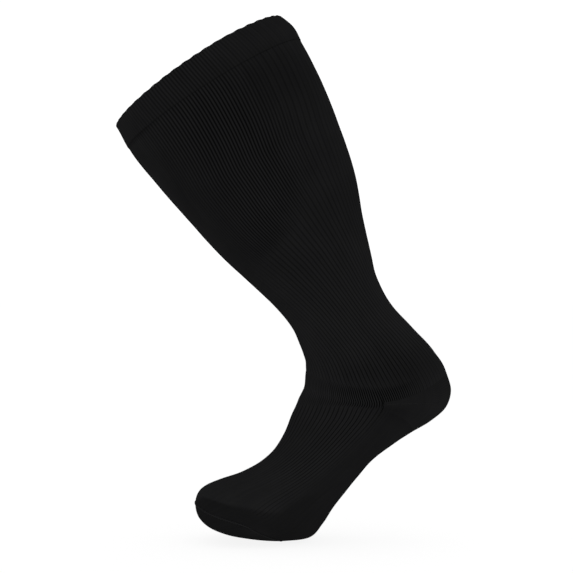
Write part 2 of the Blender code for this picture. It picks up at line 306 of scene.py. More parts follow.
def beside(length, turn, distance):
    """Lengths that lie a distance further along the tube's surface."""
    start = skin(length, turn)
    step = np.full(np.shape(turn), float(distance))
    for _ in range(SETTLING_ROUNDS):
        run = np.linalg.norm(skin(length + step, turn) - start, axis=-1)
        step = step * abs(distance) / run
    return length + step


# ---------- Relief of the knit
RIB_COLUMNS = ("length", "front", "single", "paired_from", "shallow", "deep", "darker")
RIBS = (
    # The share of the grooves' strength that is left at the front, and the strength of single
    # grooves.
    # Further round than the reach paired_from, the ribs lie in pairs: shallow and deep grooves take
    # turns there, and the cloth about the deep ones is painted darker by a share, as shade in them.
    (0, 0.40, 0.80, 0.29, 0.20, 0.35, 0.04),
    (26, 0.40, 0.80, 0.29, 0.20, 0.35, 0.04),
    (32, 0.40, 0.88, 0.300, 0.12, 0.30, 0.05),
    (55, 0.25, 1.00, 0.305, 0.10, 0.30, 0.05),
    (80, 0.20, 0.95, 0.315, 0.10, 0.30, 0.05),
    (100, 0.15, 0.92, 0.325, 0.10, 0.30, 0.06),
    (130, 0.15, 0.92, 0.315, 0.10, 0.30, 0.07),
    (150, 0.20, 0.92, 0.285, 0.10, 0.32, 0.07),
    (170, 0.20, 0.80, 0.23, 0.10, 0.36, 0.08),
    (200, 0.20, 0.40, -0.06, 0.10, 0.44, 0.10),
    (232, 0.30, 0.15, -0.10, 0.12, 0.48, 0.12),
    (280, 0.55, 0.15, -0.10, 0.15, 0.55, 0.14),
    (305, 0.55, 0.25, -0.10, 0.25, 0.70, 0.18),
    (322, 0.50, 1.10, 0.34, 0.30, 0.50, 0.06),
    (352, 0.50, 1.10, 0.34, 0.30, 0.50, 0.06),
    (368, 0.85, 0.35, -0.10, 0.35, 0.75, 0.18),
    (430, 0.85, 0.35, -0.10, 0.35, 0.75, 0.20),
    (500, 0.85, 0.35, -0.10, 0.35, 0.65, 0.18),
)
DEEP_GROOVE = 1.5  # where the first deep groove runs, in wales; each second one is deep
PAIRING_SOFTNESS = 0.06
FRONT_RIBS_REACH = (0.05, 0.20)  # where the front's share gives way to the whole strength
BACK_RIBS_REACH = (0.34, 0.43)  # and that to the back's share
BACK_RIBS = 0.55  # share of the grooves' strength down the back


def paired_share(ribs, reach):
    """How far the ribs have paired up, from 0 for single ones to 1 for pairs."""
    start = ribs["paired_from"]
    return smoothstep(start - PAIRING_SOFTNESS, start + PAIRING_SOFTNESS, reach)


def front_share(ribs, reach):
    """Share of the grooves' strength that is left near the front, where the ribs are flatter."""
    return 1 + (ribs["front"] - 1) * (1 - smoothstep(*FRONT_RIBS_REACH, reach))


def rib_strength(length, turn, wale):
    """Strength of the groove in a wale's middle."""
    ribs = read_table(RIB_COLUMNS, RIBS, length)
    reach = reach_round(turn)
    paired = paired_share(ribs, reach)
    is_deep = np.mod(np.floor(wale), 2.0) == np.floor(DEEP_GROOVE)
    in_pairs = np.where(is_deep, ribs["deep"], ribs["shallow"])
    strength = ribs["single"] * (1 - paired) + in_pairs * paired
    back_share = 1 + (BACK_RIBS - 1) * smoothstep(*BACK_RIBS_REACH, reach)
    return strength * front_share(ribs, reach) * back_share


def paired_rib_light_and_shade(length, turn, wale):
    """Tone of the cloth: painted lighter on pairs of ribs and painted darker about the deep grooves,
    as light and shade of their relief.
    """
    ribs = read_table(RIB_COLUMNS, RIBS, length)
    reach = reach_round(turn)
    darker = ribs["darker"] * paired_share(ribs, reach) * front_share(ribs, reach)
    return 1 - darker * np.cos(np.pi * (wale - DEEP_GROOVE))


def groove_depth(wale, strength):
    """Depth of the grooves, one down the middle of each wale."""
    off_middle = np.abs(np.mod(wale, 1.0) - 0.5)
    return GROOVE * strength * np.exp(-((off_middle / GROOVE_WIDTH) ** 2))


CREASE_COLUMNS = ("length", "turn", "reach", "width", "depth", "slant")
CREASES = (
    # Shallow troughs where the knit is pushed together over the front of the ankle.
    (292, 0.055, 0.075, 3.0, 0.30, 10.0),
    (301, 0.120, 0.085, 2.6, 0.34, -14.0),
    (310, 0.035, 0.060, 3.4, 0.24, 8.0),
    (297, 0.940, 0.080, 2.8, 0.30, -9.0),
    (307, 0.885, 0.075, 3.0, 0.32, 15.0),
    # And where the heel pocket pulls at its narrow ends.
    (302, 0.215, 0.040, 2.2, 0.30, 0.0),
    (303, 0.785, 0.042, 2.2, 0.28, 0.0),
)


def crease_depth(length, turn):
    """Soft troughs across the tube, of the sizes in the table."""
    depth = np.zeros(np.broadcast(length, turn).shape)
    for row in CREASES:
        crease = dict(zip(CREASE_COLUMNS, row))
        away = np.mod(turn - crease["turn"] + 0.5, 1.0) - 0.5
        line = (crease["length"] + crease["slant"] * away) * MM
        along = np.exp(-((away / crease["reach"]) ** 2))
        across = np.exp(-(((length - line) / (crease["width"] * MM)) ** 2))
        depth = depth + crease["depth"] * MM * along * across
    return depth


# Faint waves of the stretched cloth: their period along the tube in millimetres, how many of them
# there are round it, and their phase.
UNEVEN_WAVES = ((41.0, 2.0, 0.3), (27.0, 5.0, 1.7), (63.0, 3.0, 4.1), (19.0, 7.0, 2.6))
UNEVEN_DEPTH = 0.09 * MM


def unevenness(length, turn):
    """Height of the faint waves, so that no stretch of the cloth is perfectly true."""
    wave = 0.0
    for period, number, phase in UNEVEN_WAVES:
        wave = wave + np.sin(2 * np.pi * (length / (period * MM) + number * turn) + phase)
    return UNEVEN_DEPTH * wave / len(UNEVEN_WAVES)


TONE_COLUMNS = ("length", "share")
TONES = (
    # How light the ribbed knit is at each distance along the tube.
    (0, 0.88), (26, 0.90), (60, 0.90), (110, 0.88), (145, 0.81), (165, 0.74), (185, 0.73),
    (205, 0.765), (232, 0.81), (255, 0.85), (290, 0.85), (330, 0.94), (355, 0.91), (368, 0.87),
    (400, 0.89), (440, 1.05), (465, 1.13), (495, 1.15), (510, 1.13), (560, 1.08),
)
# How light the plain knit is, as a share of that.
PLAIN_TONES = ((0, 0.66), (358, 0.66), (372, 0.74), (425, 0.70), (470, 0.78), (560, 0.84))
PAINTED_LIGHT_SPOT_COLUMNS = ("length", "reach", "high", "wide", "change")
PAINTED_LIGHT_SPOTS = (
    # Painted light and shade: soft patches, so many millimetres high along the tube and so wide round
    # it, that are painted lighter or darker by a share where light falls more or less, and near the
    # calf's paired ribs partly the knit's own tone. Over the calf:
    (92, 0.200, 70.0, 0.110, -0.03),
    (18, 0.380, 10.0, 0.070, 0.16),
    (45, 0.340, 28.0, 0.080, -0.24),
    (85, 0.090, 60.0, 0.060, -0.22),
    (75, 0.400, 95.0, 0.085, -0.27),
    (145, 0.235, 28.0, 0.060, 0.15),
    (130, 0.310, 35.0, 0.045, -0.04),
    # Above and beside the heel pocket:
    (304, 0.250, 13.0, 0.090, -0.18),
    (314, 0.380, 16.0, 0.120, -0.18),
    (326, 0.430, 14.0, 0.070, -0.14),
    (338, 0.040, 14.0, 0.110, 0.16),
    (336, 0.180, 14.0, 0.080, 0.16),
    (355, 0.290, 10.0, 0.060, -0.14),
    (344, 0.430, 15.0, 0.060, 0.16),
    # Along the foot, on its sides and at the end of the toe's seam:
    (385, 0.420, 35.0, 0.070, 0.16),
    (455, 0.280, 30.0, 0.050, -0.10),
    (510, 0.310, 8.0, 0.040, 0.20),
)
# Painted shade: the ball and toe are painted darker underneath, where less light reaches them:
# further round than this line, by this share.
UNDERSIDE_PAINTED_SHADE_COLUMNS = ("length", "reach", "share")
UNDERSIDE_PAINTED_SHADE = (
    (400, 0.400, 1.00), (430, 0.340, 0.96), (449, 0.305, 0.88), (458, 0.288, 0.80),
    (468, 0.284, 0.74), (481, 0.280, 0.74), (486, 0.260, 0.72), (491, 0.205, 0.70),
    (497, 0.170, 0.68), (501, 0.128, 0.68), (507, 0.078, 0.68), (522, 0.040, 0.67),
    (530, -0.040, 0.67), (560, -0.040, 0.68),
)
UNDERSIDE_PAINTED_SHADE_SOFTNESS = 0.022
# A painted shadow under the welt's step: the leg is painted darker close under its edge, at the
# front.
WELT_PAINTED_SHADOW = 0.30  # by which the leg is darker close under the welt's edge, at the front
WELT_PAINTED_SHADOW_HIGH = 1.6 * MM
WELT_PAINTED_SHADOW_REACH = (0.10, 0.17)


def tone_of(length, turn, ribbed):
    """How light the cloth is, as a share, from plain where ribbed is 0 to full ribs where it is 1,
    with painted light and shade: soft patches, a painted shadow under the welt's edge and painted
    shade under the ball and toe.
    """
    reach = reach_round(turn)
    plain = read_table(TONE_COLUMNS, PLAIN_TONES, length)["share"]
    tone = read_table(TONE_COLUMNS, TONES, length)["share"] * (plain + (1 - plain) * ribbed)
    # Patches of painted light and shade.
    for row in PAINTED_LIGHT_SPOTS:
        spot = dict(zip(PAINTED_LIGHT_SPOT_COLUMNS, row))
        high = np.exp(-(((length / MM - spot["length"]) / spot["high"]) ** 2))
        wide = np.exp(-(((reach - spot["reach"]) / spot["wide"]) ** 2))
        tone = tone * (1 + spot["change"] * high * wide)
    # Painted shadow under the welt's edge, at the front.
    below_hem = (length - length_of("welt edge")) / WELT_PAINTED_SHADOW_HIGH
    at_front = 1 - smoothstep(*WELT_PAINTED_SHADOW_REACH, reach)
    tone = tone * (1 - WELT_PAINTED_SHADOW * np.exp(-(below_hem**2)) * (below_hem > 0) * at_front)
    # Painted shade under the ball and toe.
    underside_shade = read_table(UNDERSIDE_PAINTED_SHADE_COLUMNS, UNDERSIDE_PAINTED_SHADE, length)
    past_line = smoothstep(-UNDERSIDE_PAINTED_SHADE_SOFTNESS, UNDERSIDE_PAINTED_SHADE_SOFTNESS, reach - underside_shade["reach"])
    return tone * (1 + (underside_shade["share"] - 1) * past_line)


def outer_lift(length, turn, wale, strength):
    """How far the outside of a ribbed wall lies off the swept surface."""
    relief = unevenness(length, turn) - crease_depth(length, turn) - groove_depth(wale, strength)
    return CLOTH + relief


# ---------- Meshes
def face_outwards(mesh):
    """Turn all faces of a closed mesh outwards, and shade them smooth."""
    work = bmesh.new()
    work.from_mesh(mesh)
    bmesh.ops.recalc_face_normals(work, faces=work.faces)
    work.to_mesh(mesh)
    work.free()
    mesh.shade_smooth()


def add_object(name, data):
    """A new object of the scene."""
    thing = bpy.data.objects.new(name, data)
    bpy.context.scene.collection.objects.link(thing)
    return thing


class Knit:
    """A mesh in the making, with the knit's coordinates, wale and course, at each corner."""

    def __init__(self):
        self.points = []
        self.count = 0
        self.faces = []
        self.corners = []
        self.ribs = []
        self.tones = []

    def grid(self, points, wales, courses, rib=0.0, tone=1.0):
        """Add a grid of points, rows by columns."""
        shape = points.shape[:2]
        index = np.arange(self.count, self.count + shape[0] * shape[1]).reshape(shape)
        self.count += index.size
        self.points.append(points.reshape(-1, 3))
        self.ribs.append(np.broadcast_to(rib, shape).reshape(-1))
        self.tones.append(np.broadcast_to(tone, shape).reshape(-1))
        return index, np.broadcast_to(wales, shape), np.broadcast_to(courses, shape)

    def sheet(self, grid, closed):
        """Faces between the neighbouring rows and columns of a grid."""
        index, wales, courses = grid
        if closed:
            index = np.concatenate([index, index[:, :1]], axis=1)
            wales = np.concatenate([wales, wales[:, :1] + WALES], axis=1)
            courses = np.concatenate([courses, courses[:, :1]], axis=1)
        corner = np.stack([wales, courses], axis=-1)
        for values, kept in ((index, self.faces), (corner, self.corners)):
            upper = values[:-1]
            lower = values[1:]
            quads = np.stack([upper[:, :-1], upper[:, 1:], lower[:, 1:], lower[:, :-1]], axis=2)
            kept.append(quads.reshape(-1, 4, *values.shape[2:]))

    def edge(self, outer, inner, closed):
        """Faces from an outer row to an inner row with fewer columns, in the order of their wales."""
        rows = []
        for index, wales, courses in (outer, inner):
            if closed:
                index = np.append(index, index[0])
                wales = np.append(wales, wales[0] + WALES)
                courses = np.append(courses, courses[0])
            rows.append(list(zip(index, wales, courses)))
        outer, inner = rows
        here = 0
        there = 0
        triangles = []
        while here < len(outer) - 1 or there < len(inner) - 1:
            outer_wale = outer[here + 1][1] if here < len(outer) - 1 else np.inf
            inner_wale = inner[there + 1][1] if there < len(inner) - 1 else np.inf
            if outer_wale <= inner_wale:
                triangles.append((outer[here], outer[here + 1], inner[there]))
                here += 1
            else:
                triangles.append((outer[here], inner[there + 1], inner[there]))
                there += 1
        triangles = np.array(triangles)
        self.faces.append(triangles[..., 0].astype(int))
        self.corners.append(triangles[..., 1:])

    def join(self, sides, rows, closed):
        """Edges between the same rows of an outer and an inner grid."""
        for row in rows:
            outer, inner = ([values[row] for values in side] for side in sides)
            self.edge(outer, inner, closed)

    def cap(self, grid):
        """Close the tip: faces straight across its last ring, between the two mirrored sides."""
        index, wales, courses = (values[-1] for values in grid)
        half = len(index) // 2
        left = np.arange(1, half)
        right = np.arange(len(index) - 1, half, -1)
        ends = ((0, 1, len(index) - 1), (half - 1, half, half + 1))
        quads = np.stack([left[:-1], left[1:], right[1:], right[:-1]], axis=1)
        for columns in (quads, np.array(ends)):
            self.faces.append(index[columns])
            self.corners.append(np.stack([wales[columns], courses[columns]], axis=-1))

    def build(self, name):
        """Make the piece, smooth and with all its faces outwards."""
        points = np.concatenate(self.points)
        faces = [face for block in self.faces for face in block.tolist()]
        mesh = bpy.data.meshes.new(name)
        mesh.from_pydata(points.tolist(), [], faces)
        layer = mesh.uv_layers.new(name="knit")
        layer.data.foreach_set("uv", np.concatenate([block.reshape(-1) for block in self.corners]))
        for key, values in (("rib", self.ribs), ("tone", self.tones)):
            attribute = mesh.attributes.new(key, "FLOAT", "POINT")
            attribute.data.foreach_set("value", np.concatenate(values))
        face_outwards(mesh)
        mesh.set_sharp_from_angle(angle=EDGE_ANGLE)
        return add_object(name, mesh)


def rows_between(start, end, count, crowding=0.0):
    """A grid of lengths with count rows, closer together near the end where they crowd."""
    part = np.linspace(0, 1, count)[:, None]
    part = part + crowding * part * (1 - part)
    return start[None, :] * (1 - part) + end[None, :] * part


def level(name, distance):
    """A line round the tube beside a named ring."""
    return lambda turn: beside(np.full(turn.shape, length_of(name)), turn, distance)


def on_instep(turn):
    """Whether a turn lies on the instep's half of the tube."""
    turn = np.mod(turn, 1.0)
    return (turn <= 0.25) | (turn >= 0.75)


def step_line(instep_name, back_name, distance):
    """A line that follows one ring over the instep and another over the heel or sole."""
    def line(turn):
        length = np.where(on_instep(turn), length_of(instep_name), length_of(back_name))
        return beside(length, turn, distance)
    return line


SIDE_WALE = WALES / 4  # the wale at the side, where the instep half and the sole half meet
OUTER_WALES = np.arange(WALES * RIB_SAMPLES) / RIB_SAMPLES
INNER_WALES = np.arange(0, WALES * RIB_SAMPLES, INNER_STEP) / RIB_SAMPLES


def with_sides(wales):
    """Wales with a column just behind each side wale, where the heel pocket starts."""
    behind = (SIDE_WALE + 1 / RIB_SAMPLES, 3 * SIDE_WALE - 1 / RIB_SAMPLES)
    return np.array(sorted(set(wales) | {SIDE_WALE, 3 * SIDE_WALE} | set(behind)))


def tube(name, start, end, rows, inner_rows, rib, crowding=0.0):
    """A wall of cloth all round, ribbed outside by rib(length, turn) and plain inside."""
    knit = Knit()
    sides = []
    for wales, count, outside in ((OUTER_WALES, rows, True), (INNER_WALES, inner_rows, False)):
        wales = with_sides(wales)
        turn = wales / WALES
        length = rows_between(start(turn), end(turn), count, crowding)
        spread = twisted(length, np.broadcast_to(wales, length.shape))
        ribbed = rib(length, spread)
        # The tone holds painted light and shade.
        tone = tone_of(length, spread, ribbed if outside else 0.0)
        if outside:
            strength = ribbed * rib_strength(length, spread, wales)
            # The knit is painted lighter on pairs of ribs and darker about their deep grooves.
            tone = tone * (1 + ribbed * (paired_rib_light_and_shade(length, spread, wales) - 1))
            lift = outer_lift(length, spread, wales, strength)
        else:
            strength = 0.0
            lift = 0.0
        sides.append(knit.grid(cloth(length, spread, lift), wales, length / COURSE, strength, tone))
        knit.sheet(sides[-1], closed=True)
    knit.join(sides, (0, -1), closed=True)
    return knit.build(name)


# ---------- Pieces
# Rows of the outside and of the inside.
ROWS = {"leg": (96, 40), "foot": (64, 24), "heel": (44, 16), "toe": (50, 14)}
LEG_CROWDING = 0.4  # how much closer the leg's rows lie towards the ankle
# The outside and the inside of a plain wall: wales to one column, and lift.
PLAIN_SIDES = ((0.5, CLOTH), (2.0, 0.0))

RIB_FADE = (0.21, 0.305)  # reach at which the foot's ribs fade into the plain sole
RIB_SIDE = (0.20, 0.26)  # reach past which they run on to the toe pocket
RIB_FADE_LEAD = 10 * MM  # how far before the ball the others start to fade


def full_rib(length, turn):
    """Ribs all round."""
    return np.ones(length.shape)


def instep_rib(length, turn):
    """Ribs over the instep half, which fade out past its sides and over the toes."""
    reach = reach_round(turn)
    faded = 1 - smoothstep(*RIB_FADE, reach)
    toes = smoothstep(length_of("before ball") - RIB_FADE_LEAD, length_of("ball front"), length)
    over_toes = 1 - toes * (1 - smoothstep(*RIB_SIDE, reach))
    return faded * over_toes


def make_leg():
    """The ribbed tube from the welt to the heel pocket and, in front, to the instep."""
    start = level("welt edge", SHELL_GAP)
    end = step_line("heel gore", "heel start", -SHELL_GAP)
    return tube("leg_knit", start, end, *ROWS["leg"], full_rib, LEG_CROWDING)


def make_foot():
    """The tube of the foot, ribbed over the instep and plain on the sole."""
    start = step_line("heel gore", "heel end", SHELL_GAP)
    end = level("toe start", -SHELL_GAP)
    return tube("foot_knit", start, end, *ROWS["foot"], instep_rib)


SCALLOPS = 46
SCALLOP_DEPTH = 0.7 * MM
SCALLOP_CHANGE = 0.3  # share of the depth that comes and goes round the rim
SCALLOP_CHANGES = (7, 3)  # times round it, in two waves
SCALLOP_PHASE = 0.8  # by which the first of them is shifted


def rim_line(turn):
    """The rim, gathered into shallow, uneven scallops by its elastic."""
    wave = (1 + np.cos(2 * np.pi * SCALLOPS * turn)) / 2
    first, second = (2 * np.pi * times * turn for times in SCALLOP_CHANGES)
    change = np.sin(first + SCALLOP_PHASE) * np.sin(second)
    return SCALLOP_DEPTH * wave * (1 - SCALLOP_CHANGE + SCALLOP_CHANGE * change)


WELT_LAYER = 1.2 * MM  # each of the two layers of the turned band
WELT_RIBS = 0.75  # strength of its ribs
WELT_ROWS = 22
WELT_FOLD_ROWS = 9
WELT_INNER_ROWS = 8
WELT_END_ROUND = 0.5 * MM  # how far its lower edge is rounded


def welt_loop(top, bottom):
    """The way round the turned band's section, as lengths, lifts and ribs.

    The ribs are 1 on the outside, -1 towards the hollow and 0 between the band's two layers.
    """
    middle = CLOTH + WELT_PROUD - WELT_CLOTH / 2
    outer_radius = WELT_CLOTH / 2
    inner_radius = outer_radius - WELT_LAYER
    parts = []

    def add(length, lift, ribs):
        parts.append(np.broadcast_arrays(length, lift, ribs))

    def straight(lift, start, end, rows, ribs):
        part = np.linspace(0, 1, rows)[:, None]
        length = start[None, :] * (1 - part) + end[None, :] * part
        add(length, lift, ribs)

    def fold(radius, start, end, ribs):
        angle = np.linspace(start, end, WELT_FOLD_ROWS)[1:-1, None]
        length = top[None, :] - np.abs(np.sin(angle)) * radius
        add(length, middle + np.cos(angle) * radius, ribs)

    end = bottom - WELT_END_ROUND
    straight(middle + outer_radius, end, top, WELT_ROWS, 1.0)
    fold(outer_radius, 0, np.pi, 1.0)
    straight(middle - outer_radius, top, end, WELT_ROWS, -1.0)
    straight(middle - (outer_radius + inner_radius) / 2, bottom, bottom, 1, 0.0)
    straight(middle - inner_radius, end, top, WELT_INNER_ROWS, 0.0)
    fold(inner_radius, np.pi, 0, 0.0)
    straight(middle + inner_radius, top, end, WELT_INNER_ROWS, 0.0)
    straight(middle + (outer_radius + inner_radius) / 2, bottom, bottom, 1, 0.0)
    return (np.concatenate(values) for values in zip(*parts))


def make_welt():
    """The turned welt: one band of ribbed cloth, folded at the rim into two layers."""
    knit = Knit()
    wales = OUTER_WALES
    turn = wales / WALES
    top = rim_line(turn) + WELT_CLOTH / 2
    bottom = level("welt edge", -SHELL_GAP)(turn)
    length, lift, ribs = welt_loop(top, bottom)
    spread = twisted(length, np.broadcast_to(wales, length.shape))
    path = np.linalg.norm(np.diff(cloth(length, spread, lift), axis=0), axis=2)
    course = np.cumsum(np.concatenate([np.zeros((1, len(wales))), path]), axis=0) / COURSE
    strength = WELT_RIBS * np.abs(ribs) * rib_strength(length, spread, wales)
    lift = lift - np.sign(ribs) * groove_depth(wales, strength)
    lift = lift + np.maximum(ribs, 0) * unevenness(length, spread)
    tone = tone_of(length, spread, np.maximum(ribs, 0))
    grid = knit.grid(cloth(length, spread, lift), wales, course, strength, tone)
    knit.sheet(grid, closed=True)
    lower_edge = [np.stack([values[-1], values[0]]) for values in grid]
    knit.sheet(lower_edge, closed=True)
    return knit.build("welt_knit")


def plain_side(knit, wales, length, lift):
    """A grid of a plain wall: its outside with the cloth's own relief, or its true inside."""
    spread = np.broadcast_to(wales / WALES, length.shape)
    height = np.full(length.shape, lift)
    if lift == CLOTH:
        height = height + unevenness(length, spread) - crease_depth(length, spread)
    tone = tone_of(length, spread, 0.0)
    return knit.grid(cloth(length, spread, height), wales, length / COURSE, tone=tone)


def make_heel():
    """The plain pocket on the back half of the tube."""
    knit = Knit()
    first = SIDE_WALE + 1 / RIB_SAMPLES
    last = WALES - first
    sides = []
    for rows, (step, lift) in zip(ROWS["heel"], PLAIN_SIDES):
        between = np.arange(np.ceil(first / step) * step, last, step)
        wales = np.array(sorted(set(between) | {first, last}))
        turn = wales / WALES
        start = level("heel start", SHELL_GAP)(turn)
        end = level("heel end", -SHELL_GAP)(turn)
        sides.append(plain_side(knit, wales, rows_between(start, end, rows), lift))
        knit.sheet(sides[-1], closed=False)
    knit.join(sides, (0, -1), closed=False)
    for column in (0, -1):
        join_columns(knit, sides, column)
    return knit.build("heel_knit")


def join_columns(knit, sides, column):
    """Faces down the side of a pocket, from its outer to its inner column."""
    lines = []
    for index, wales, courses in sides:
        lines.append((index[:, column], np.linspace(0, 1, len(index)), courses[:, column]))
    knit.edge(*lines, closed=False)


def make_toe():
    """The plain closed pocket over the toes."""
    knit = Knit()
    sides = []
    for rows, (step, lift) in zip(ROWS["toe"], PLAIN_SIDES):
        wales = np.arange(0, WALES, step)
        turn = wales / WALES
        start = level("toe start", SHELL_GAP)(turn)
        end = np.full(turn.shape, LENGTHS[-1] - CLOTH + lift)
        sides.append(plain_side(knit, wales, rows_between(start, end, rows), lift))
        knit.sheet(sides[-1], closed=True)
        knit.cap(sides[-1])
    knit.join(sides, (0,), closed=True)
    return knit.build("toe_knit")


# ---------- Stitches of the seams
STITCH_SIDES = 6
STITCH_RINGS = 7
STITCH_END = 0.02  # keeps its last rings open, instead of in one point
STITCH_COLUMNS = ("pitch", "slant", "length", "width", "height", "lift")
STITCHES = {
    # Each slants one way and the next the other, in radians. The lift is its middle's height over
    # the inside of the cloth.
    "toe_seam": (1.15 * MM, 0.75, 2.8 * MM, 1.0 * MM, 0.8 * MM, CLOTH + 0.25 * MM),
    "heel_gore": (1.0 * MM, 0.35, 1.5 * MM, 0.6 * MM, 0.42 * MM, CLOTH + 0.02 * MM),
    "welt_hem": (2.0 * MM, 0.5, 2.4 * MM, 0.7 * MM, 0.5 * MM, -0.15 * MM),
}


def stitch_points(length, width, height):
    """Rings of points of one plump stitch: along it, across it and out of the cloth."""
    part = np.linspace(-1, 1, STITCH_RINGS)
    swell = np.sqrt(np.clip(1 - part**2, STITCH_END, 1))
    points = []
    for at, fat in zip(part, swell):
        for angle in np.linspace(0, 2 * np.pi, STITCH_SIDES, endpoint=False):
            across = math.cos(angle) * fat * width / 2
            out = math.sin(angle) * fat * height / 2
            points.append((at * length / 2, across, out))
    return np.array(points)


def stitch_faces():
    """Faces of one stitch, from ring to ring and over its two ends."""
    rings = np.arange(STITCH_RINGS * STITCH_SIDES).reshape(STITCH_RINGS, STITCH_SIDES).tolist()
    faces = []
    for upper, lower in zip(rings[:-1], rings[1:]):
        for here in range(STITCH_SIDES):
            there = (here + 1) % STITCH_SIDES
            faces.append([upper[here], upper[there], lower[there], lower[here]])
    return faces + [rings[0][::-1], rings[-1]]


def stitch_mesh(name, centres, along, out, size):
    """Stitches of one size, one at each centre, all in one mesh."""
    shape = stitch_points(*size)
    axes = np.stack([along, np.cross(out, along), out], axis=1)
    points = centres[:, None, :] + np.einsum("pk,nkx->npx", shape, axes)
    pattern = stitch_faces()
    faces = []
    for first in range(0, len(centres) * len(shape), len(shape)):
        faces.extend([first + corner for corner in face] for face in pattern)
    mesh = bpy.data.meshes.new(name)
    mesh.from_pydata(points.reshape(-1, 3).tolist(), [], faces)
    face_outwards(mesh)
    return add_object(name, mesh)


def stitches_along(name, kind, length, turn):
    """Stitches of a kind at even steps along a line on the surface."""
    stitch = dict(zip(STITCH_COLUMNS, STITCHES[kind]))
    run = run_along(skin(length, turn))
    count = int(run[-1] / stitch["pitch"])
    at = (np.arange(count) + 0.5) * run[-1] / count
    length = np.interp(at, run, length)
    turn = np.interp(at, run, turn)
    out = outward(length, turn)
    forward = skin(length, turn + TURN_STEP) - skin(length, turn - TURN_STEP)
    forward = forward / np.linalg.norm(forward, axis=-1, keepdims=True)
    side = np.cross(out, forward)
    angle = stitch["slant"] * np.where(np.arange(count) % 2 == 0, 1.0, -1.0)[:, None]
    along = forward * np.cos(angle) + side * np.sin(angle)
    size = (stitch["length"], stitch["width"], stitch["height"])
    return stitch_mesh(name, cloth(length, turn, stitch["lift"]), along, out, size)


# The ways of the seams, as reaches round from the front and lengths in millimetres.
TOE_SEAM = (
    (0.0, 524.5), (0.09, 523.0), (0.145, 521.6), (0.175, 519.3), (0.207, 515.5), (0.230, 512.3),
    (0.252, 509.2), (0.270, 508.4), (0.292, 509.2), (0.31, 509.5), (0.42, 509.0),
)
HEEL_GORE = ((0.260, 340.5), (0.275, 339.0), (0.325, 340.5), (0.365, 342.0), (0.430, 343.5))
HEM_BELOW = 1.0 * MM  # from the welt's edge down to the stitches of its hem
TOE_SEAM_SAMPLES = 400
HEEL_GORE_SAMPLES = 300
HEM_SAMPLES = 1200


def seam_length(turn, way):
    """Distance of a seam from the rim where it crosses each turn."""
    return np.interp(reach_round(turn), *zip(*way)) * MM


def make_toe_seam():
    """The linked seam that closes the toe, a row of fat stitches from side to side."""
    end = TOE_SEAM[-1][0]
    turn = np.linspace(-end, end, TOE_SEAM_SAMPLES)
    return stitches_along("toe_seam", "toe_seam", seam_length(turn, TOE_SEAM), turn)


def make_heel_gore(side):
    """The line of doubled stitches where the heel pocket's two halves meet, on one side."""
    turn = np.linspace(HEEL_GORE[0][0], HEEL_GORE[-1][0], HEEL_GORE_SAMPLES)
    if side < 0:
        turn = 1 - turn
    name = "heel_gore_left" if side > 0 else "heel_gore_right"
    return stitches_along(name, "heel_gore", seam_length(turn, HEEL_GORE), turn)


def make_welt_hem():
    """The linking stitches on the inside that hold the welt's turned edge down."""
    turn = np.linspace(0, 1, HEM_SAMPLES)
    return stitches_along("welt_hem", "welt_hem", level("welt edge", HEM_BELOW)(turn), turn)


# ---------- Materials
KNIT_LOOK_COLUMNS = ("crest", "groove", "roughness", "bump")
KNIT_LOOKS = {
    # Brightness of the ribs' crests, the grooves' share of it as painted shade in them, roughness and
    # height of the stitches.
    "welt": (0.0120, 0.15, 0.80, 0.10 * MM),
    "leg": (0.0131, 0.13, 0.80, 0.10 * MM),
    "foot": (0.0127, 0.15, 0.80, 0.09 * MM),
    "heel": (0.0150, 0.35, 0.85, 0.08 * MM),
    "toe": (0.0127, 0.35, 0.85, 0.08 * MM),
    "seam": (0.0120, 0.50, 0.80, 0.03 * MM),
}
TINT = (1.0, 1.0, 1.03)  # red, green and blue
# The grooves' painted shade: how far it reaches from their middle, and how steeply it starts.
GROOVE_SHADE_WIDTH = 0.37  # of a wale, to each side of the groove's middle
GROOVE_SHADE_STEEPNESS = 1.2
STITCH_RISE = 0.9  # courses that the legs of the stitches' chevrons rise in a wale
NOISES = {
    # Scale, detail and roughness.
    "fibre": (2600.0, 2.0, 0.6),
    "patch": (38.0, 3.0, 0.55),
    "streak": (1.0, 2.0, 0.5),
}
STREAK_SCALE = (0.55, 0.012)  # of the streaks across the wales and down the courses
SHADES = {
    # Tone where a pattern is 0, and how much lighter it is where the pattern is 1.
    "stitch": (0.80, 0.20),
    "patch": (0.86, 0.28),
    "streak": (0.84, 0.32),
    "fibre": (0.85, 0.30),
}
FIBRE_ROUGHNESS = 0.25
GROOVE_ROUGHNESS = 0.2
STITCH_BUMP = 0.7
FIBRE_BUMP = 0.5
BUMP_STRENGTH = 0.6


class Nodes:
    """Short calls for a material's nodes."""

    def __init__(self, tree):
        self.tree = tree

    def new(self, kind, **settings):
        """A node with some of its settings."""
        node = self.tree.nodes.new(kind)
        for key, value in settings.items():
            setattr(node, key, value)
        return node

    def link(self, source, target):
        """Join an output to an input."""
        self.tree.links.new(source, target)

    def maths(self, operation, *values, clamp=False):
        """The result of an operation on numbers or outputs."""
        node = self.new("ShaderNodeMath", operation=operation, use_clamp=clamp)
        for socket, value in zip(node.inputs, values):
            if isinstance(value, (int, float)):
                socket.default_value = value
            else:
                self.link(value, socket)
        return node.outputs[0]

    def times(self, *values, clamp=False):
        """The product of two numbers or outputs."""
        return self.maths("MULTIPLY", *values, clamp=clamp)

    def noise(self, vector, scale, detail, roughness):
        """A noise between 0 and 1."""
        node = self.new("ShaderNodeTexNoise")
        node.inputs["Scale"].default_value = scale
        node.inputs["Detail"].default_value = detail
        node.inputs["Roughness"].default_value = roughness
        self.link(vector, node.inputs["Vector"])
        return node.outputs["Fac"]

    def attribute(self, name):
        """A number that the mesh has at each point."""
        return self.new("ShaderNodeAttribute", attribute_name=name).outputs["Fac"]


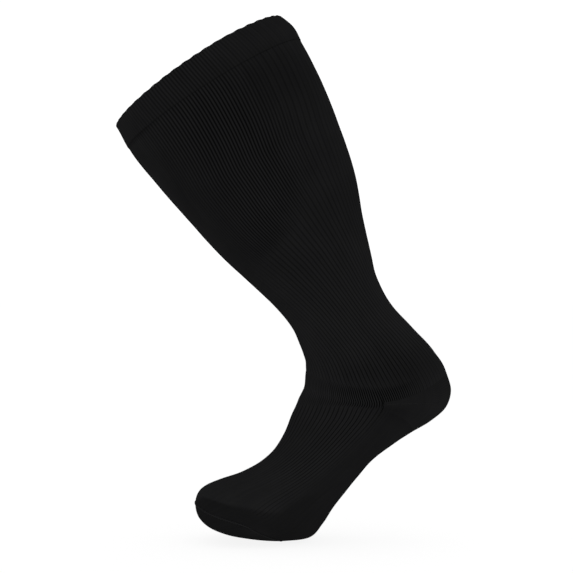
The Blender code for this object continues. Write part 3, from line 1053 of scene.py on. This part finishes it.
def knit_patterns(nodes):
    """How deep in a groove each place lies, and the patterns of the knit from 0 to 1."""
    place = nodes.new("ShaderNodeTexCoord").outputs["Object"]
    split = nodes.new("ShaderNodeSeparateXYZ")
    nodes.link(nodes.new("ShaderNodeUVMap", uv_map="knit").outputs["UV"], split.inputs[0])
    wale = split.outputs["X"]
    course = split.outputs["Y"]

    # The groove's painted shade is darkest in its middle, from which a place is 0 to 0.5 of a wale
    # away.
    away = nodes.maths("ABSOLUTE", nodes.maths("SUBTRACT", nodes.maths("FRACT", wale), 0.5))
    near = nodes.maths("SUBTRACT", 1.0, nodes.maths("DIVIDE", away, GROOVE_SHADE_WIDTH))
    near = nodes.times(near, GROOVE_SHADE_STEEPNESS, clamp=True)
    in_groove = nodes.times(near, nodes.attribute("rib"))

    # Stitches are a chevron of two legs in each wale, one to each course.
    rise = nodes.times(nodes.maths("SUBTRACT", 0.5, away), STITCH_RISE)
    phase = nodes.times(nodes.maths("ADD", course, rise), 2 * math.pi)
    wave = nodes.times(nodes.maths("COSINE", phase), 0.5)

    streak_place = nodes.new("ShaderNodeCombineXYZ")
    for socket, source, scale in zip(("X", "Y"), (wale, course), STREAK_SCALE):
        nodes.link(nodes.times(source, scale), streak_place.inputs[socket])
    places = {"fibre": place, "patch": place, "streak": streak_place.outputs[0]}
    patterns = {name: nodes.noise(places[name], *values) for name, values in NOISES.items()}
    patterns["stitch"] = nodes.maths("ADD", 0.5, wave)
    return in_groove, patterns


def knit_material(look, slot):
    """Black nylon and elastane knit: painted shade in the grooves, small stitches, faint fuzz and
    unevenness.
    """
    values = dict(zip(KNIT_LOOK_COLUMNS, KNIT_LOOKS[look]))
    material = bpy.data.materials.new(slot + "_" + look)
    material.use_nodes = True
    shader = material.node_tree.nodes["Principled BSDF"]
    nodes = Nodes(material.node_tree)
    in_groove, patterns = knit_patterns(nodes)

    # Colour: from crest to groove, painted darker in the groove as shade, with the mesh's tone and
    # its painted light and shade, dark gaps between stitches and slow unevenness.
    tone = nodes.maths("SUBTRACT", 1.0, nodes.times(in_groove, 1.0 - values["groove"]))
    # The mesh's tone brings its painted light and shade.
    if look != "seam":
        tone = nodes.times(tone, nodes.attribute("tone"))
    for name, (low, change) in SHADES.items():
        shade = nodes.maths("ADD", low, nodes.times(patterns[name], change))
        tone = nodes.times(tone, shade)
    colour = nodes.new("ShaderNodeCombineColor")
    for socket, tint in zip(("Red", "Green", "Blue"), TINT):
        nodes.link(nodes.times(tone, values["crest"] * tint), colour.inputs[socket])
    nodes.link(colour.outputs[0], shader.inputs["Base Color"])

    # Roughness: with the yarn's fuzz, and rougher in the grooves.
    fuzz = nodes.times(nodes.maths("SUBTRACT", patterns["fibre"], 0.5), FIBRE_ROUGHNESS)
    rough = nodes.maths("ADD", values["roughness"], fuzz)
    rough = nodes.maths("ADD", rough, nodes.times(in_groove, GROOVE_ROUGHNESS), clamp=True)
    nodes.link(rough, shader.inputs["Roughness"])

    # Bump: the stitches' legs and the fuzz of the yarn.
    legs = nodes.times(patterns["stitch"], STITCH_BUMP)
    height = nodes.maths("ADD", legs, nodes.times(patterns["fibre"], FIBRE_BUMP))
    bump = nodes.new("ShaderNodeBump")
    bump.inputs["Strength"].default_value = BUMP_STRENGTH
    bump.inputs["Distance"].default_value = values["bump"]
    nodes.link(height, bump.inputs["Height"])
    nodes.link(bump.outputs["Normal"], shader.inputs["Normal"])
    shader.inputs["Specular IOR Level"].default_value = 0.0
    return material


def dress(piece, look, slot, *nodes):
    """Give a piece its material, named after its slot, put it on the root body, and hide the solids
    it stands for.
    """
    piece.data.materials.append(knit_material(look, slot))
    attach(piece, "root")
    if nodes:
        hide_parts(*nodes)
    return piece


# ---------- Studio
def make_camera():
    """A level camera that frames the stocking's side as the photo does."""
    data = bpy.data.cameras.new("camera")
    data.sensor_width = SENSOR
    data.lens = SENSOR * CAMERA_DISTANCE / (PICTURE * METRES_PER_PIXEL)
    data.clip_start, data.clip_end = CAMERA_CLIP
    camera = add_object("camera", data)
    across = (PICTURE / 2 - ORIGIN_PIXEL[0]) * METRES_PER_PIXEL
    up = (ORIGIN_PIXEL[1] - PICTURE / 2) * METRES_PER_PIXEL
    camera.location = (across, -CAMERA_DISTANCE, up)
    camera.rotation_euler = (math.pi / 2, 0.0, 0.0)
    bpy.context.scene.camera = camera


FLOOR_SIZE = 60.0
FLOOR_GAP = 1.0 * MM  # below the lowest point of the toe
FLOOR_PAPER = 0.12  # share of the light on the floor that it sends back
FLOOR_GLOW = 0.88  # its own brightness, so that it reads as overexposed paper


def floor_material():
    """Pale paper that takes a soft shadow."""
    material = bpy.data.materials.new("floor_paper")
    material.use_nodes = True
    tree = material.node_tree
    tree.nodes.clear()
    out = tree.nodes.new("ShaderNodeOutputMaterial")
    seen = tree.nodes.new("ShaderNodeAddShader")
    paper = tree.nodes.new("ShaderNodeBsdfDiffuse")
    paper.inputs["Color"].default_value = (FLOOR_PAPER, FLOOR_PAPER, FLOOR_PAPER, 1.0)
    glow = tree.nodes.new("ShaderNodeEmission")
    glow.inputs["Strength"].default_value = FLOOR_GLOW
    tree.links.new(paper.outputs[0], seen.inputs[0])
    tree.links.new(glow.outputs[0], seen.inputs[1])
    tree.links.new(seen.outputs[0], out.inputs["Surface"])
    return material


def make_floor():
    """A plain, almost white floor."""
    half = FLOOR_SIZE / 2
    height = CAD_BOX[0][2] - FLOOR_GAP
    sides = ((-half, -half), (half, -half), (half, half), (-half, half))
    mesh = bpy.data.meshes.new("floor")
    mesh.from_pydata([(x, y, height) for x, y in sides], [], [(0, 1, 2, 3)])
    mesh.materials.append(floor_material())
    add_object("floor", mesh)


ROOM_LIGHT = 1.07


def make_world():
    """A white light tent: even, soft light from all round."""
    world = bpy.data.worlds.new("studio")
    bpy.context.scene.world = world
    world.use_nodes = True
    background = world.node_tree.nodes["Background"]
    background.inputs["Color"].default_value = (1.0, 1.0, 1.0, 1.0)
    background.inputs["Strength"].default_value = ROOM_LIGHT


LIGHT_COLUMNS = ("name", "place", "target", "size", "power")
LIGHTS = (
    ("side_right", (1.45, 0.20, 0.15), (0.12, 0.0, -0.18), 1.1, 1.2),
    ("side_left", (-1.35, 0.10, 0.25), (0.02, 0.0, -0.15), 1.0, 1.4),
    ("top", (0.10, 0.10, 1.60), (0.05, 0.0, -0.20), 1.2, 3.0),
)


def make_lights():
    """Large soft lamps on both sides and above."""
    for row in LIGHTS:
        light = dict(zip(LIGHT_COLUMNS, row))
        data = bpy.data.lights.new(light["name"], "AREA")
        data.size = light["size"]
        data.energy = light["power"]
        lamp = add_object(light["name"], data)
        lamp.location = light["place"]
        aim = Vector(light["target"]) - lamp.location
        lamp.rotation_euler = aim.to_track_quat("-Z", "Y").to_euler()


# ---------- The scene
make_camera()
make_world()
make_floor()
make_lights()
bpy.context.scene.view_settings.view_transform = "Standard"

welt = dress(make_welt(), "welt", "welt_knit", "welt")
leg = dress(make_leg(), "leg", "ribbed_knit", "leg")
heel = dress(make_heel(), "heel", "plain_knit", "heel")
foot = dress(make_foot(), "foot", "ribbed_knit", "foot")
toe = dress(make_toe(), "toe", "plain_knit", "toe")
toe_seam = dress(make_toe_seam(), "seam", "plain_knit")
gores = [dress(make_heel_gore(side), "seam", "plain_knit") for side in (1, -1)]
hem = dress(make_welt_hem(), "seam", "welt_knit")
